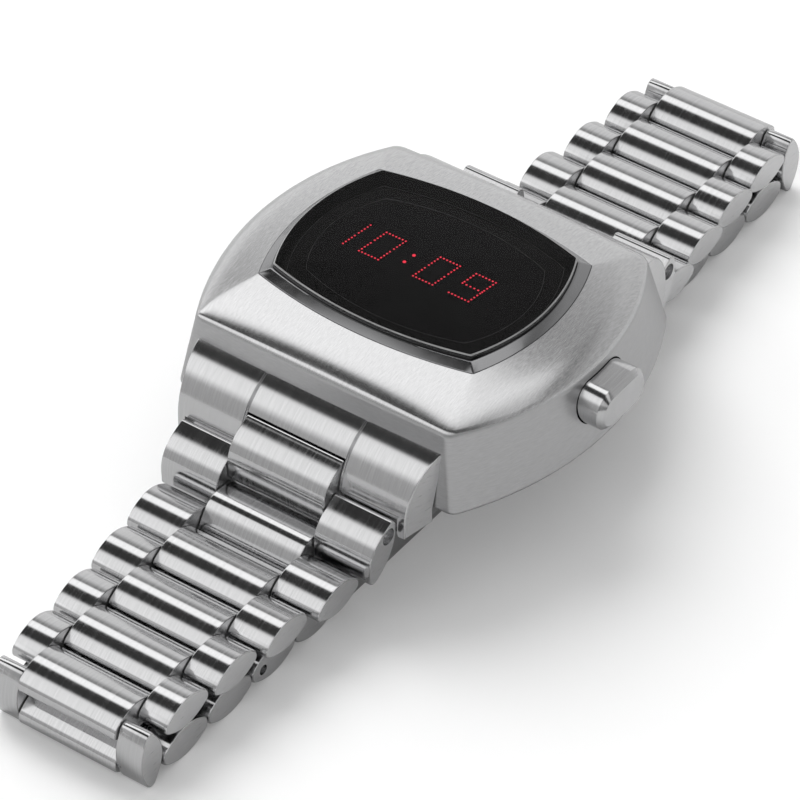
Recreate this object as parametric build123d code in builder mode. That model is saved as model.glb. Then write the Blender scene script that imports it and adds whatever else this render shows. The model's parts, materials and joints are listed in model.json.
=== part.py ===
from build123d import *
import math
import os

# A digital wristwatch lies with its steel bracelet folded flat under the case.
# +X is the side with the push-button, +Y runs along the bracelet towards 12 o'clock, +Z is up.
# The origin lies on the surface that the watch rests on, below the middle of the case.

# Driving dimensions, in millimetres

# Case, seen from above: four bowed sides that meet in softly rounded corners
case_half_width = 20.4
case_corner_x = 15.5
case_corner_y = 17.35
case_end_bow = 0.15
case_corner_radius = 1.3
case_rim_z = 9.8
case_under_z = 8.6
case_under_inset = 2.4
case_shoulder_z = 17.3
case_shoulder_inset = 1.35
case_shoulder_end_inset = 1.7
case_shoulder_radius = 0.55
case_crown_z = 18.85
case_crown_share = 0.52
case_window_z = 19.6

# Cavity for the module, open below and closed by the case back
cavity_half_x = 14.4
cavity_half_y = 13.0
cavity_radius = 3.5
cavity_top_z = 17.6

# Window: crystal, its polished rim and the ledge that carries both
window_corner_x = 11.1
window_corner_y = 8.5
window_side_bow = 2.0
window_end_bow = 1.55
window_corner_radius = 0.7
rim_width = 0.75
rim_proud = 0.4
rim_bevel = 0.4
ledge_width = 1.0
ledge_z = 19.0
crystal_top_z = 20.75
crystal_edge = 0.08

# Light-emitting display under the crystal
display_thickness = 1.35
display_drop = 0.15
digit_chip_x = 2.6
digit_chip_y = 4.0
digit_chip_height = 0.1
digit_chip_pitch = 4.1
digit_centre_x = -2.1
digit_centre_y = 0.4
digit_gap_share = 1.5

# Module: circuit board, holder and button cell
board_thickness = 1.0
board_margin = 0.5
driver_chip_side = 5.0
driver_chip_height = 0.9
crystal_can_radius = 0.8
crystal_can_length = 5.0
can_seat_share = 0.8
holder_margin = 0.12
cell_radius = 10.0
cell_height = 3.2
cell_step = 1.1
cell_lip_height = 0.7
clip_thickness = 0.2
clip_width = 4.0

# Case back with its sealing ring
back_bottom_z = 7.45
back_half_x = 15.4
back_half_y = 14.2
back_radius = 4.0
back_bevel = 0.6
back_plug_height = 0.9
back_plug_margin = 0.1
gasket_width = 0.5
gasket_height = 0.4

# Push-button at 3 o'clock
button_length = 7.5
button_height = 4.3
button_y = 0.4
button_z = 14.4
button_proud = 1.6
button_edge = 0.55
button_depth = 3.2
button_travel = 0.8
stem_radius = 1.0
stem_tip_gap = 0.05
contact_thickness = 0.25
contact_width = 2.4
contact_overlap = 0.6

# Bracelet links: a lens-shaped section, pinned at every half step of the chain
pin_step = 3.22
link_thickness = 3.1
link_flat = 2.8
link_tip_gap = 0.1
link_tip_height = 0.5
centre_width = 10.9
side_gap = 0.06
pin_radius = 0.5
outer_half_width = 11.9
taper_shares = (1.0, 0.915, 0.835, 0.77, 0.73, 0.706)
pin_hole_radius = 0.85
small_hole_radius = 0.52
pin_hole_depth = 1.2
links_per_side = 10
flat_top_links = 8

# Headings of the first links, in degrees below level, on the 6 and 12 o'clock sides
near_headings = (61, 58)
far_headings = (44, 110)

# End links, which fill the case's 6 and 12 o'clock sides
end_half_width = 13.75
end_front_half_width = 12.85
end_front_u = 21.15
end_back_z = 15.75
end_crown_z = 15.9
end_crown_radius = 4.0
end_bottom_inner_z = 8.05
end_bottom_outer_z = 8.5
end_wall = 0.9
end_groove_width = 0.12
end_groove_depth = 0.2
end_groove_spacing = 0.3
first_pin_u = 20.6
first_pin_z = 11.8
swing_clearance = 0.14
lug_half_gap = 8.4
lug_width = 1.8
lug_radius = 1.5
bar_u = 18.05
bar_z = 11.4
bar_radius = 0.6
bar_tip_radius = 0.45
bar_tip_length = 1.0

# Folding clasp under the case: a cover and two blades that fold into it
clasp_side_margin = 0.1
clasp_wall = 0.9
clasp_height = 3.7
clasp_corner_radius = 1.2
clasp_near_gap = 2.2
clasp_far_gap = 4.8
blade_half_width = 4.9
blade_thickness = 0.8
blade_gap = 0.6
hinge_radius = 0.95
hinge_inset = 2.4
hinge_pin_radius = 0.45
hinge_lug_width = 1.6
knuckle_radius = 1.45
bend_length = 2.6
clasp_button_y = -9.0
clasp_button_length = 5.0
clasp_button_height = 1.5
clasp_button_proud = 0.55
clasp_flange = 0.5

# Clearances
running_clearance = 0.05
seat_clearance = 0.04
overrun = 2.0

# Worked-out places of the bracelet
link_half_length = pin_step - link_tip_gap / 2
link_half_thickness = link_thickness / 2
lower_layer_z = link_half_thickness
upper_layer_z = lower_layer_z + pin_step
pin_circle = link_half_length - pin_step / 2
outer_inner_x = centre_width / 2 + side_gap
knuckle_half_width = centre_width / 2 - side_gap
button_face_x = case_half_width + button_proud


def outer_width(number):
    """Half the bracelet's width at outer link 1, 2, 3 and on."""
    index = min(number, len(taper_shares)) - 1
    return outer_half_width * taper_shares[index]


def chain(headings):
    """Pin places (u outwards, z up) and link headings of one side, from its end link to the clasp."""
    drop = (first_pin_z - upper_layer_z) / pin_step
    steep = [math.radians(angle) for angle in headings]
    steep.append(math.asin(drop - sum(math.sin(angle) for angle in steep)))
    level_then_fold = [0.0] * flat_top_links + [math.pi / 2]
    directions = steep + level_then_fold
    directions += [math.pi] * (2 * links_per_side - len(directions))
    pins = [(first_pin_u, first_pin_z)]
    for angle in directions:
        u, z = pins[-1]
        pins.append((u + pin_step * math.cos(angle), z - pin_step * math.sin(angle)))
    return pins, directions


near_pins, near_directions = chain(near_headings)
far_pins, far_directions = chain(far_headings)
clasp_half_width = outer_width(links_per_side) - clasp_side_margin


def save(part, name):
    part.label = name
    export_step(part, f"parts/{name}.step")


def bowed_outline(half_x, corner_x, corner_y, half_y, radius):
    """A closed outline of four outward-bowed sides with rounded corners."""
    with BuildLine() as outline:
        ThreePointArc((corner_x, -corner_y), (half_x, 0), (corner_x, corner_y))
        ThreePointArc((corner_x, corner_y), (0, half_y), (-corner_x, corner_y))
        ThreePointArc((-corner_x, corner_y), (-half_x, 0), (-corner_x, -corner_y))
        ThreePointArc((-corner_x, -corner_y), (0, -half_y), (corner_x, -corner_y))
    face = make_face(outline.edges())
    fillet(face.vertices(), radius)


def case_outline(inset_x, inset_y):
    half_x = case_half_width - inset_x
    half_y = case_corner_y + case_end_bow - inset_y
    corner_x = case_corner_x - inset_x
    corner_y = case_corner_y - inset_y
    bowed_outline(half_x, corner_x, corner_y, half_y, case_corner_radius)


def window_outline(margin):
    """The crystal's outline, grown by a margin all round."""
    corner_x = window_corner_x + margin
    corner_y = window_corner_y + margin
    half_x = corner_x + window_side_bow
    half_y = corner_y + window_end_bow
    bowed_outline(half_x, corner_x, corner_y, half_y, window_corner_radius)


def crown_outline():
    """Halfway between the shoulder and the window, where the top is still full."""
    margin = rim_width + seat_clearance
    share = case_crown_share
    shoulder_x = case_corner_x - case_shoulder_inset
    shoulder_y = case_corner_y - case_shoulder_end_inset
    shoulder_half_x = case_half_width - case_shoulder_inset
    shoulder_half_y = shoulder_y + case_end_bow
    corner_x = shoulder_x + share * (window_corner_x + margin - shoulder_x)
    corner_y = shoulder_y + share * (window_corner_y + margin - shoulder_y)
    window_half_x = window_corner_x + margin + window_side_bow
    window_half_y = window_corner_y + margin + window_end_bow
    half_x = shoulder_half_x + share * (window_half_x - shoulder_half_x)
    half_y = shoulder_half_y + share * (window_half_y - shoulder_half_y)
    bowed_outline(half_x, corner_x, corner_y, half_y, case_corner_radius)


def make_case_body():
    rim_margin = rim_width + seat_clearance
    with BuildPart() as body:
        with BuildSketch(Plane.XY.offset(case_under_z)):
            case_outline(case_under_inset, case_under_inset)
        with BuildSketch(Plane.XY.offset(case_rim_z)):
            case_outline(0, 0)
        loft(ruled=True)
        with BuildSketch(Plane.XY.offset(case_rim_z)):
            case_outline(0, 0)
        with BuildSketch(Plane.XY.offset(case_shoulder_z)):
            case_outline(case_shoulder_inset, case_shoulder_end_inset)
        loft(ruled=True)
        with BuildSketch(Plane.XY.offset(case_shoulder_z)):
            case_outline(case_shoulder_inset, case_shoulder_end_inset)
        with BuildSketch(Plane.XY.offset(case_crown_z)):
            crown_outline()
        with BuildSketch(Plane.XY.offset(case_window_z)):
            window_outline(rim_margin)
        loft()
        shoulder = body.edges().filter_by_position(Axis.Z, case_shoulder_z, case_shoulder_z)
        fillet(shoulder, case_shoulder_radius)
        # module cavity from below
        with BuildSketch(Plane.XY.offset(case_under_z)):
            RectangleRounded(2 * cavity_half_x, 2 * cavity_half_y, cavity_radius)
        extrude(amount=cavity_top_z - case_under_z, mode=Mode.SUBTRACT)
        # seat of the crystal and its rim, and the window through to the cavity
        with BuildSketch(Plane.XY.offset(ledge_z)):
            window_outline(rim_margin)
        extrude(amount=overrun, mode=Mode.SUBTRACT)
        with BuildSketch(Plane.XY.offset(cavity_top_z)):
            window_outline(-ledge_width)
        extrude(amount=overrun, mode=Mode.SUBTRACT)
        # groove of the back's sealing ring
        with BuildSketch(Plane.XY.offset(case_under_z)):
            RectangleRounded(
                2 * (cavity_half_x + gasket_width), 2 * (cavity_half_y + gasket_width), cavity_radius
            )
        extrude(amount=gasket_height, mode=Mode.SUBTRACT)
        # pocket and bore of the push-button
        pocket_floor_x = button_face_x - button_depth - button_travel
        with BuildSketch(Plane.YZ.offset(pocket_floor_x)):
            with Locations((button_y, button_z)):
                SlotOverall(button_length + 2 * side_gap, button_height + 2 * side_gap)
        extrude(amount=button_depth + overrun, mode=Mode.SUBTRACT)
        with BuildSketch(Plane.YZ.offset(cavity_half_x - overrun)):
            with Locations((button_y, button_z)):
                Circle(stem_radius + running_clearance)
        extrude(amount=pocket_floor_x - cavity_half_x + 2 * overrun, mode=Mode.SUBTRACT)
        # hidden lugs that hold the spring bars
        for side in (-1, 1):
            for end in (-1, 1):
                with BuildSketch(Plane.YZ.offset(end * lug_half_gap - lug_width / 2)):
                    with Locations((side * bar_u, bar_z)):
                        Circle(lug_radius)
                    with Locations((side * (bar_u + case_corner_y - lug_radius) / 2, bar_z)):
                        Rectangle(bar_u - case_corner_y + lug_radius, 2 * lug_radius)
                extrude(amount=lug_width)
        with BuildSketch(Plane.YZ.offset(-end_half_width)):
            with Locations((-bar_u, bar_z), (bar_u, bar_z)):
                Circle(bar_radius + seat_clearance)
        extrude(amount=2 * end_half_width, mode=Mode.SUBTRACT)
    save(body.part, "case_body")


def make_window():
    with BuildPart() as rim:
        with BuildSketch(Plane.XY.offset(ledge_z)):
            window_outline(rim_width)
        extrude(amount=case_window_z + rim_proud - ledge_z)
        chamfer(rim.edges().group_by(Axis.Z)[-1], rim_bevel)
        with BuildSketch(Plane.XY.offset(ledge_z)):
            window_outline(seat_clearance)
        extrude(amount=case_window_z + rim_proud - ledge_z, mode=Mode.SUBTRACT)
    save(rim.part, "crystal_rim")
    with BuildPart() as glass:
        with BuildSketch(Plane.XY.offset(ledge_z)):
            window_outline(0)
        extrude(amount=crystal_top_z - ledge_z)
        chamfer(glass.edges().group_by(Axis.Z)[-1], crystal_edge)
    save(glass.part, "crystal")


def make_display():
    top_z = ledge_z - display_drop
    with BuildPart() as display:
        with BuildSketch(Plane.XY.offset(top_z - display_thickness)):
            window_outline(-ledge_width - side_gap)
        extrude(amount=display_thickness)
        # two digits on each side of the colon
        inner = digit_gap_share / 2 * digit_chip_pitch
        centres = (-inner - digit_chip_pitch, -inner, inner, inner + digit_chip_pitch)
        with BuildSketch(Plane.XY.offset(top_z)):
            with Locations(*[(digit_centre_x + x, digit_centre_y) for x in centres]):
                Rectangle(digit_chip_x, digit_chip_y)
        extrude(amount=digit_chip_height)
    save(display.part, "led_display")


def make_module():
    board_top = ledge_z - display_drop - display_thickness
    board_bottom = board_top - board_thickness
    holder_bottom = back_bottom_z + back_plate_height() + back_plug_height + clip_thickness
    pocket_top = holder_bottom + cell_height + seat_clearance
    can_z = board_bottom - can_seat_share * crystal_can_radius
    chip_x = cavity_half_x / 2
    contact_low_z = button_z - stem_radius - contact_overlap
    with BuildPart() as board:
        with BuildSketch(Plane.XY.offset(board_bottom)):
            RectangleRounded(
                2 * (cavity_half_x - board_margin), 2 * (cavity_half_y - board_margin), cavity_radius
            )
        extrude(amount=board_thickness)
        with BuildSketch(Plane.XY.offset(board_bottom - driver_chip_height)):
            with Locations((-chip_x, 0)):
                Rectangle(driver_chip_side, driver_chip_side)
        extrude(amount=driver_chip_height)
        with BuildSketch(Plane.XZ.offset(-crystal_can_length / 2)):
            with Locations((0, can_z)):
                Circle(crystal_can_radius)
        extrude(amount=crystal_can_length)
        # contact strip that the push-button's stem presses
        with BuildSketch(Plane.YZ.offset(cavity_half_x - contact_notch())):
            with Locations((button_y, (contact_low_z + board_top) / 2)):
                Rectangle(contact_width, board_top - contact_low_z)
        extrude(amount=contact_thickness)
    save(board.part, "circuit_board")
    with BuildPart() as holder:
        with BuildSketch(Plane.XY.offset(holder_bottom)):
            RectangleRounded(
                2 * (cavity_half_x - holder_margin), 2 * (cavity_half_y - holder_margin), cavity_radius
            )
        extrude(amount=board_bottom - holder_bottom)
        with BuildSketch(Plane.XY.offset(holder_bottom)):
            Circle(cell_radius + running_clearance)
        extrude(amount=pocket_top - holder_bottom, mode=Mode.SUBTRACT)
        with BuildSketch(Plane.XY.offset(board_bottom - 2 * crystal_can_radius - side_gap)):
            with Locations((-chip_x, 0)):
                Rectangle(driver_chip_side + board_margin, driver_chip_side + board_margin)
            Rectangle(4 * crystal_can_radius, crystal_can_length + board_margin)
        extrude(amount=board_thickness + 2 * crystal_can_radius, mode=Mode.SUBTRACT)
        # notch for the contact strip, which the push-button's stem reaches into
        with BuildSketch(Plane.YZ.offset(cavity_half_x - contact_notch() - holder_margin)):
            with Locations((button_y, (contact_low_z - holder_margin + board_top) / 2)):
                Rectangle(contact_width + 2 * holder_margin, board_top - contact_low_z + holder_margin)
        extrude(amount=overrun, mode=Mode.SUBTRACT)
    save(holder.part, "module_holder")
    with BuildPart() as cell:
        with BuildSketch(Plane.XY.offset(holder_bottom)):
            Circle(cell_radius)
        extrude(amount=cell_height - cell_lip_height)
        with BuildSketch(Plane.XY.offset(holder_bottom + cell_height - cell_lip_height)):
            Circle(cell_radius - cell_step)
        extrude(amount=cell_lip_height)
    save(cell.part, "battery")
    with BuildPart() as clip:
        with BuildSketch(Plane.XY.offset(holder_bottom - clip_thickness)):
            Rectangle(2 * (cavity_half_x - board_margin), clip_width)
            Rectangle(clip_width, 2 * (cavity_half_y - board_margin))
        extrude(amount=clip_thickness)
    save(clip.part, "battery_clip")


def back_plate_height():
    return case_under_z - back_bottom_z


def contact_notch():
    """How far the contact spring stands behind the cavity's wall: the button's travel and a gap."""
    return button_travel + stem_tip_gap + contact_thickness


def make_case_back():
    with BuildPart() as back:
        with BuildSketch(Plane.XY.offset(back_bottom_z)):
            RectangleRounded(2 * back_half_x, 2 * back_half_y, back_radius)
        extrude(amount=back_plate_height())
        chamfer(back.edges().group_by(Axis.Z)[0], back_bevel)
        with BuildSketch(Plane.XY.offset(case_under_z)):
            RectangleRounded(
                2 * (cavity_half_x - back_plug_margin),
                2 * (cavity_half_y - back_plug_margin),
                cavity_radius,
            )
        extrude(amount=back_plug_height)
    save(back.part, "case_back")
    with BuildPart() as gasket:
        with BuildSketch(Plane.XY.offset(case_under_z)):
            RectangleRounded(
                2 * (cavity_half_x + gasket_width), 2 * (cavity_half_y + gasket_width), cavity_radius
            )
            RectangleRounded(
                2 * (cavity_half_x - back_plug_margin / 2),
                2 * (cavity_half_y - back_plug_margin / 2),
                cavity_radius,
                mode=Mode.SUBTRACT,
            )
        extrude(amount=gasket_height)
    save(gasket.part, "back_gasket")


def make_push_button():
    stem_end_x = cavity_half_x - contact_notch() + contact_thickness + stem_tip_gap + button_travel
    with BuildPart() as button:
        with BuildSketch(Plane.YZ.offset(button_face_x - button_depth)):
            with Locations((button_y, button_z)):
                SlotOverall(button_length, button_height)
        extrude(amount=button_depth)
        chamfer(button.edges().group_by(Axis.X)[-1], button_edge)
        with BuildSketch(Plane.YZ.offset(stem_end_x)):
            with Locations((button_y, button_z)):
                Circle(stem_radius)
        extrude(amount=button_face_x - button_depth - stem_end_x)
    save(button.part, "push_button")


def case_wall_u(z):
    """How far out the case's 6 and 12 o'clock walls stand at a height, from rim to shoulder."""
    share = (z - case_rim_z) / (case_shoulder_z - case_rim_z)
    return case_corner_y + case_end_bow - share * case_shoulder_end_inset


def end_link_outline(side):
    """The end link's section: its back leans with the case's wall, its front is rounded."""
    top_back_u = case_wall_u(end_back_z) + side_gap
    rim_back_u = case_wall_u(case_rim_z) + side_gap
    crown_u = end_front_u - end_crown_radius
    with BuildLine() as outline:
        Line((side * top_back_u, end_back_z), (side * crown_u, end_crown_z))
        TangentArc(
            (side * crown_u, end_crown_z),
            (side * end_front_u, end_crown_z - end_crown_radius),
            tangent=(side, 0),
        )
        Polyline(
            (side * end_front_u, end_crown_z - end_crown_radius),
            (side * end_front_u, end_bottom_outer_z),
            (side * rim_back_u, end_bottom_inner_z),
            (side * rim_back_u, case_rim_z),
            (side * top_back_u, end_back_z),
        )
    make_face(outline.edges())


def side_rectangle(side, u_low, u_high, z_low, z_high):
    with Locations((side * (u_low + u_high) / 2, (z_low + z_high) / 2)):
        Rectangle(u_high - u_low, z_high - z_low)


def end_link_plan(side):
    """The end link from above: it narrows from the case's wall to its front."""
    back_u = case_wall_u(end_back_z)
    with BuildLine() as outline:
        Polyline(
            (end_half_width, side * back_u),
            (end_front_half_width, side * end_front_u),
            (-end_front_half_width, side * end_front_u),
            (-end_half_width, side * back_u),
            (end_half_width, side * back_u),
        )
    make_face(outline.edges())


def make_end_link(side, name):
    notch_radius = pin_circle + swing_clearance
    notch_half_width = outer_inner_x
    scoop_half_width = outer_half_width + swing_clearance
    notch_top_z = first_pin_z + notch_radius
    below_z, beyond_u = end_bottom_inner_z - overrun, end_front_u + overrun
    with BuildPart() as link:
        with BuildSketch(Plane.YZ.offset(-end_half_width)):
            end_link_outline(side)
        extrude(amount=2 * end_half_width)
        with BuildSketch(Plane.XY.offset(below_z)):
            end_link_plan(side)
        extrude(amount=end_crown_z + overrun - below_z, mode=Mode.INTERSECT)
        # fine double grooves that mark the three segments
        for end in (-1, 1):
            for step in (1, 2):
                groove_x = end * (notch_half_width + step * end_groove_spacing)
                with BuildSketch(Plane.YZ.offset(groove_x - end_groove_width / 2)):
                    end_link_outline(side)
                    offset(amount=-end_groove_depth, mode=Mode.SUBTRACT)
                extrude(amount=end_groove_width, mode=Mode.SUBTRACT)
        # notch for the first centre link
        with BuildSketch(Plane.YZ.offset(-notch_half_width)):
            with Locations((side * first_pin_u, first_pin_z)):
                Circle(notch_radius)
            side_rectangle(side, first_pin_u, beyond_u, below_z, notch_top_z)
            side_rectangle(side, first_pin_u - notch_radius, beyond_u, below_z, first_pin_z)
        extrude(amount=2 * notch_half_width, mode=Mode.SUBTRACT)
        # scoop for the tips of the first outer links, wherever the first centre link hangs
        with BuildSketch(Plane.YZ.offset(-scoop_half_width)):
            with Locations(*[(side * u, z) for u, z in (near_pins[1], far_pins[1])]):
                Circle(notch_radius)
        extrude(amount=2 * scoop_half_width, mode=Mode.SUBTRACT)
        # pockets for the case's lugs, and the bar's bore
        for end in (-1, 1):
            with BuildSketch(Plane.YZ.offset(end * lug_half_gap - lug_width / 2 - side_gap)):
                with Locations((side * bar_u, bar_z)):
                    Circle(lug_radius + side_gap)
                pocket = lug_radius + side_gap
                side_rectangle(side, bar_u - pocket, bar_u, bar_z - pocket, bar_z + pocket)
            extrude(amount=lug_width + 2 * side_gap, mode=Mode.SUBTRACT)
        with BuildSketch(Plane.YZ.offset(end_wall - end_half_width)):
            with Locations((side * bar_u, bar_z)):
                Circle(bar_radius + seat_clearance)
        extrude(amount=2 * (end_half_width - end_wall), mode=Mode.SUBTRACT)
        # pin of the first centre link
        with BuildSketch(Plane.YZ.offset(-notch_half_width)):
            with Locations((side * first_pin_u, first_pin_z)):
                Circle(pin_radius)
        extrude(amount=2 * notch_half_width)
    save(link.part, name)


def make_spring_bar(side, name):
    half_length = end_half_width - end_wall
    with BuildPart() as bar:
        with BuildSketch(Plane.YZ.offset(-half_length)):
            with Locations((side * bar_u, bar_z)):
                Circle(bar_tip_radius)
        extrude(amount=2 * half_length)
        with BuildSketch(Plane.YZ.offset(-half_length + bar_tip_length)):
            with Locations((side * bar_u, bar_z)):
                Circle(bar_radius)
        extrude(amount=2 * (half_length - bar_tip_length))
    save(bar.part, name)


# Outer links that show a pin hole in their side faces, at their inner (-1) or outer (1) pin
side_holes = {
    "near_outer_links_1": (-1, pin_hole_radius),
    "near_outer_links_9": (1, small_hole_radius),
    "far_outer_links_1": (-1, pin_hole_radius),
}


def link_plane(x, side, pins, directions, index):
    """Plane across the bracelet at x, with its own x axis along the link and its origin mid-link."""
    (u1, z1), (u2, z2) = pins[index], pins[index + 1]
    angle = directions[index]
    along = (0, side * math.cos(angle), -math.sin(angle))
    return Plane(origin=(x, side * (u1 + u2) / 2, (z1 + z2) / 2), x_dir=along, z_dir=(1, 0, 0))


def link_outline():
    half_flat, half_tip = link_flat / 2, link_tip_height / 2
    with BuildLine() as outline:
        Line((-half_flat, link_half_thickness), (half_flat, link_half_thickness))
        TangentArc(
            (half_flat, link_half_thickness), (link_half_length, half_tip), tangent=(1, 0)
        )
        Line((link_half_length, half_tip), (link_half_length, -half_tip))
        TangentArc(
            (half_flat, -link_half_thickness), (link_half_length, -half_tip), tangent=(1, 0)
        )
        Line((half_flat, -link_half_thickness), (-half_flat, -link_half_thickness))
        TangentArc(
            (-half_flat, -link_half_thickness), (-link_half_length, -half_tip), tangent=(-1, 0)
        )
        Line((-link_half_length, -half_tip), (-link_half_length, half_tip))
        TangentArc(
            (-half_flat, link_half_thickness), (-link_half_length, half_tip), tangent=(-1, 0)
        )
    make_face(outline.edges())


def make_centre_link(side, pins, directions, index, name):
    plane = link_plane(-centre_width / 2, side, pins, directions, index)
    with BuildPart() as link:
        with BuildSketch(plane):
            link_outline()
            with Locations((-pin_step / 2, 0), (pin_step / 2, 0)):
                Circle(pin_radius + running_clearance, mode=Mode.SUBTRACT)
        extrude(amount=centre_width)
    save(link.part, name)


def make_outer_links(side, pins, directions, index, name, open_end):
    """A pair of outer links with the pins that carry the centre links on each side of it."""
    half_width = outer_width((index + 1) // 2)
    with BuildPart() as links:
        with BuildSketch(link_plane(outer_inner_x, side, pins, directions, index)):
            link_outline()
        extrude(amount=half_width - outer_inner_x)
        if name in side_holes:
            end, hole_radius = side_holes[name]
            with BuildSketch(link_plane(half_width - pin_hole_depth, side, pins, directions, index)):
                with Locations((end * pin_step / 2, 0)):
                    Circle(hole_radius)
            extrude(amount=pin_hole_depth, mode=Mode.SUBTRACT)
        mirror(about=Plane.YZ)
        with BuildSketch(link_plane(-outer_inner_x, side, pins, directions, index)):
            places = [(-pin_step / 2, 0)] if open_end else [(-pin_step / 2, 0), (pin_step / 2, 0)]
            with Locations(*places):
                Circle(pin_radius)
        extrude(amount=2 * outer_inner_x)
    save(links.part, name)


def make_bracelet(side, pins, directions, prefix, open_end):
    for index in range(2 * links_per_side):
        number = index // 2 + 1
        last = index == 2 * links_per_side - 1
        if index % 2 == 0:
            make_centre_link(side, pins, directions, index, f"{prefix}_centre_link_{number}")
        else:
            make_outer_links(
                side, pins, directions, index, f"{prefix}_outer_links_{number}", open_end and last
            )


near_clasp_u = near_pins[-1][0]
far_clasp_u = far_pins[-1][0]
cover_near_y = clasp_near_gap - near_clasp_u
cover_far_y = far_clasp_u - clasp_far_gap
first_blade_z = clasp_wall + side_gap + hinge_radius
second_blade_z = first_blade_z + blade_thickness + blade_gap
near_hinge_y = cover_near_y + hinge_inset
near_hinge_z = (first_blade_z + second_blade_z) / 2
far_hinge_y = cover_far_y - hinge_inset


def bar_between(half_width, y_low, y_high, z_low, z_high, mode=Mode.ADD):
    """A plain bar, centred on the bracelet's middle."""
    with BuildSketch(Plane.YZ.offset(-half_width)) as section:
        side_rectangle(1, y_low, y_high, z_low, z_high)
    extrude(section.sketch, amount=2 * half_width, mode=mode)


def knuckle(half_width, y, z, radius, mode=Mode.ADD):
    """A round knuckle or pin, or its bore when it is taken away."""
    with BuildSketch(Plane.YZ.offset(-half_width)) as section:
        with Locations((y, z)):
            Circle(radius)
    extrude(section.sketch, amount=2 * half_width, mode=mode)


def make_clasp_cover():
    length = cover_far_y - cover_near_y
    middle_y = (cover_far_y + cover_near_y) / 2
    inner_half_width = clasp_half_width - clasp_wall
    with BuildPart() as cover:
        with BuildSketch():
            with Locations((0, middle_y)):
                RectangleRounded(2 * clasp_half_width, length, clasp_corner_radius)
        extrude(amount=clasp_height)
        chamfer(cover.edges().group_by(Axis.Z)[0], clasp_wall / 2)
        bar_between(
            inner_half_width, cover_near_y - overrun, cover_far_y + overrun,
            clasp_wall, clasp_height + overrun, Mode.SUBTRACT,
        )
        # room for the first blade's knuckle between the lugs
        bar_between(
            blade_half_width + side_gap, far_hinge_y, cover_far_y + overrun,
            -overrun, clasp_wall + overrun, Mode.SUBTRACT,
        )
        # knuckle that the 6 o'clock side of the bracelet ends at
        knuckle(knuckle_half_width, -near_clasp_u, lower_layer_z, knuckle_radius)
        bar_between(
            knuckle_half_width, -near_clasp_u, cover_near_y + clasp_wall,
            lower_layer_z - clasp_wall, lower_layer_z + clasp_wall / 2,
        )
        knuckle(
            knuckle_half_width, -near_clasp_u, lower_layer_z,
            pin_radius + running_clearance, Mode.SUBTRACT,
        )
        # lugs and pin of the first blade
        for end in (-1, 1):
            low_x = end * (inner_half_width - hinge_lug_width / 2) - hinge_lug_width / 2
            with BuildSketch(Plane.YZ.offset(low_x)):
                with Locations((far_hinge_y, first_blade_z)):
                    Circle(hinge_radius)
                side_rectangle(
                    1, far_hinge_y - hinge_radius, far_hinge_y + hinge_radius,
                    clasp_wall / 2, first_blade_z,
                )
            extrude(amount=hinge_lug_width)
        knuckle(inner_half_width, far_hinge_y, first_blade_z, hinge_pin_radius)
        # windows for the push-buttons
        with BuildSketch(Plane.YZ.offset(-clasp_half_width - overrun)):
            with Locations((clasp_button_y, near_hinge_z)):
                SlotOverall(
                    clasp_button_length + 2 * running_clearance,
                    clasp_button_height + 2 * running_clearance,
                )
        extrude(amount=2 * (clasp_half_width + overrun), mode=Mode.SUBTRACT)
    save(cover.part, "clasp_cover")


def make_clasp_buttons():
    inner_half_width = clasp_half_width - clasp_wall
    inner_x = inner_half_width - side_gap - clasp_flange
    for end, name in ((-1, "clasp_button_left"), (1, "clasp_button_right")):
        with BuildPart() as button:
            with BuildSketch(Plane.YZ.offset(end * inner_x)):
                with Locations((clasp_button_y, near_hinge_z)):
                    SlotOverall(
                        clasp_button_length + 2 * clasp_flange,
                        clasp_button_height + clasp_flange,
                    )
            extrude(amount=end * clasp_flange)
            with BuildSketch(Plane.YZ.offset(end * inner_x)):
                with Locations((clasp_button_y, near_hinge_z)):
                    SlotOverall(clasp_button_length, clasp_button_height)
            extrude(amount=end * (clasp_half_width + clasp_button_proud - inner_x))
        save(button.part, name)


def make_first_blade():
    """Hinged to the cover at its 12 o'clock end, and to the second blade at its other end."""
    middle_half_width = blade_half_width / 2
    with BuildPart() as blade:
        bar_between(
            blade_half_width, near_hinge_y, far_hinge_y,
            first_blade_z - blade_thickness / 2, first_blade_z + blade_thickness / 2,
        )
        room = hinge_radius + swing_clearance
        bar_between(
            blade_half_width, near_hinge_y - overrun, near_hinge_y + room,
            first_blade_z - blade_thickness, first_blade_z + blade_thickness, Mode.SUBTRACT,
        )
        bar_between(
            middle_half_width, near_hinge_y, near_hinge_y + room,
            first_blade_z - blade_thickness / 2, first_blade_z + blade_thickness / 2,
        )
        knuckle(middle_half_width, near_hinge_y, near_hinge_z, hinge_radius)
        knuckle(blade_half_width, far_hinge_y, first_blade_z, hinge_radius)
        knuckle(
            blade_half_width, far_hinge_y, first_blade_z,
            hinge_pin_radius + running_clearance, Mode.SUBTRACT,
        )
        knuckle(blade_half_width, near_hinge_y, near_hinge_z, hinge_pin_radius)
    save(blade.part, "clasp_first_blade")


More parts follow.
